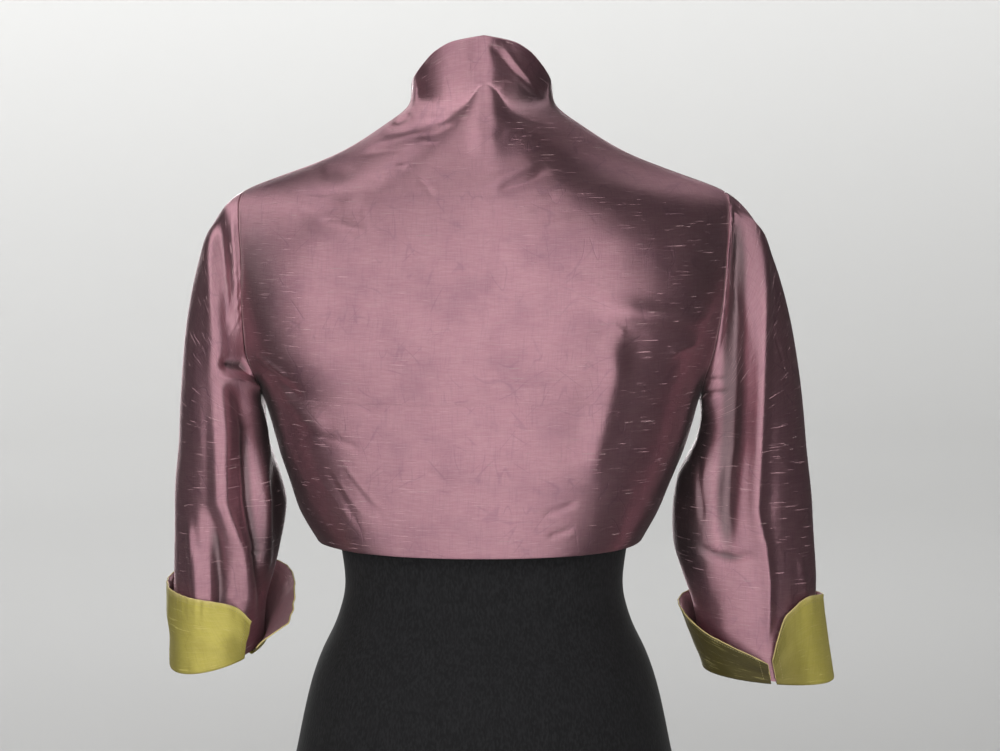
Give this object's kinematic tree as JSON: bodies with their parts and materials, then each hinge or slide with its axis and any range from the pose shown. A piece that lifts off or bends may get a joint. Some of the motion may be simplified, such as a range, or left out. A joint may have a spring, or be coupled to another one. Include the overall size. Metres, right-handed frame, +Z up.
{
  "type": "cropped jacket on dress form",
  "caption": "Open cropped silk jacket with a grown-on stand collar, three-quarter sleeves and turned-back contrast cuffs, worn by a plain limbless counter-top dress form.",
  "frame": {"origin": "middle of the form's flat foot, on the surface that it stands on", "axes": "+Z up, the wearer's front faces -Y, the wearer's left is +X"},
  "size_m": [0.5416, 0.2403, 0.698],
  "materials": {
    "rose_silk": "slubbed shot silk with a satin sheen",
    "chartreuse_silk": "plain woven silk with a satin sheen",
    "form_jersey": "matt knitted jersey cover"
  },
  "bodies": {
    "root": {"back": "rose_silk", "front_left": "rose_silk", "front_right": "rose_silk", "sleeve_left": "rose_silk", "sleeve_right": "rose_silk", "cuff_left": "rose_silk", "cuff_right": "rose_silk", "cuff_facing_left": "chartreuse_silk", "cuff_facing_right": "chartreuse_silk", "dress_form": "form_jersey"}
  },
  "joints": []
}
